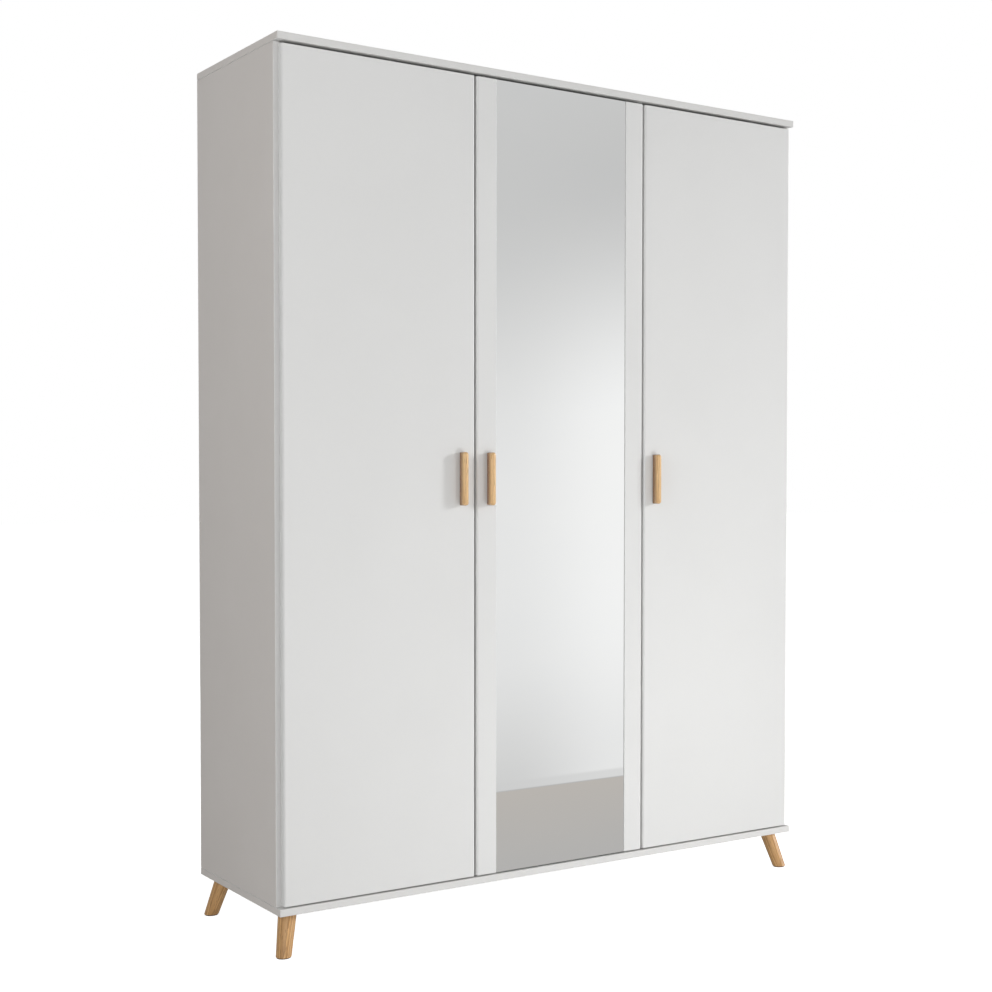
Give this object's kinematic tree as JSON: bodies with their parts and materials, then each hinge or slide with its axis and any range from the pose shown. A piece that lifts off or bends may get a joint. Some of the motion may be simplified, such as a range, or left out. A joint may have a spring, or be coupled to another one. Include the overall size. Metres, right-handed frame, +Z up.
{
  "type": "wardrobe with doors",
  "caption": "Tall wardrobe on splayed wooden legs with flush hinged doors, a full-height mirror on the middle door, a hanging compartment and a shelf compartment.",
  "frame": {"origin": "on the floor, under the middle of the bounding box", "axes": "+Z up, doors face -Y, +X to the right when seen from the front"},
  "size_m": [1.43, 0.4836, 1.97],
  "materials": {
    "white_board": "satin white melamine on particle board",
    "white_door": "satin white lacquered board",
    "back_hardboard": "white printed hardboard",
    "strip_plastic": "white extruded plastic",
    "rail_chrome": "polished",
    "hardware_steel": "nickel-plated",
    "oak": "oiled solid oak",
    "glide_felt": "dark felt pad",
    "mirror_glass": "silvered glass"
  },
  "bodies": {
    "case": {"top_panel": "white_board", "bottom_panel": "white_board", "side_panel_left": "white_board", "side_panel_right": "white_board", "partition_panel": "white_board", "hat_shelf": "white_board", "shelf_1": "white_board", "shelf_2": "white_board", "shelf_3": "white_board", "shelf_4": "white_board", "back_panel_left": "back_hardboard", "back_panel_middle": "back_hardboard", "back_panel_right": "back_hardboard", "back_strip_left": "strip_plastic", "back_strip_right": "strip_plastic", "clothes_rail": "rail_chrome", "rail_socket_left": "hardware_steel", "rail_socket_right": "hardware_steel", "leg_front_left": "oak", "leg_front_right": "oak", "leg_rear_left": "oak", "leg_rear_right": "oak", "leg_bolt_front_left": "hardware_steel", "leg_bolt_front_right": "hardware_steel", "leg_bolt_rear_left": "hardware_steel", "leg_bolt_rear_right": "hardware_steel", "glide_front_left": "glide_felt", "glide_front_right": "glide_felt", "glide_rear_left": "glide_felt", "glide_rear_right": "glide_felt", "hinge_arm_left_1": "hardware_steel", "hinge_arm_left_2": "hardware_steel", "hinge_arm_left_3": "hardware_steel", "hinge_arm_middle_1": "hardware_steel", "hinge_arm_middle_2": "hardware_steel", "hinge_arm_middle_3": "hardware_steel", "hinge_arm_right_1": "hardware_steel", "hinge_arm_right_2": "hardware_steel", "hinge_arm_right_3": "hardware_steel"},
    "door_left_leaf": {"door_left": "white_door", "handle_left": "oak", "hinge_cup_left_1": "hardware_steel", "hinge_cup_left_2": "hardware_steel", "hinge_cup_left_3": "hardware_steel"},
    "door_middle_leaf": {"door_middle": "white_door", "handle_middle": "oak", "hinge_cup_middle_1": "hardware_steel", "hinge_cup_middle_2": "hardware_steel", "hinge_cup_middle_3": "hardware_steel", "mirror_glass": "mirror_glass"},
    "door_right_leaf": {"door_right": "white_door", "handle_right": "oak", "hinge_cup_right_1": "hardware_steel", "hinge_cup_right_2": "hardware_steel", "hinge_cup_right_3": "hardware_steel"}
  },
  "joints": [
    {"name": "door_left_hinge", "type": "hinge", "parent": "case", "child": "door_left_leaf", "pos_m": [-0.7046, -0.21975, 1.03025], "axis": [0, 0, -1], "range_deg": [0, 95]},
    {"name": "door_middle_hinge", "type": "hinge", "parent": "case", "child": "door_middle_leaf", "pos_m": [0.23303, -0.21975, 1.03025], "axis": [0, 0, 1], "range_deg": [0, 95]},
    {"name": "door_right_hinge", "type": "hinge", "parent": "case", "child": "door_right_leaf", "pos_m": [0.7046, -0.21975, 1.03025], "axis": [0, 0, 1], "range_deg": [0, 95]}
  ]
}
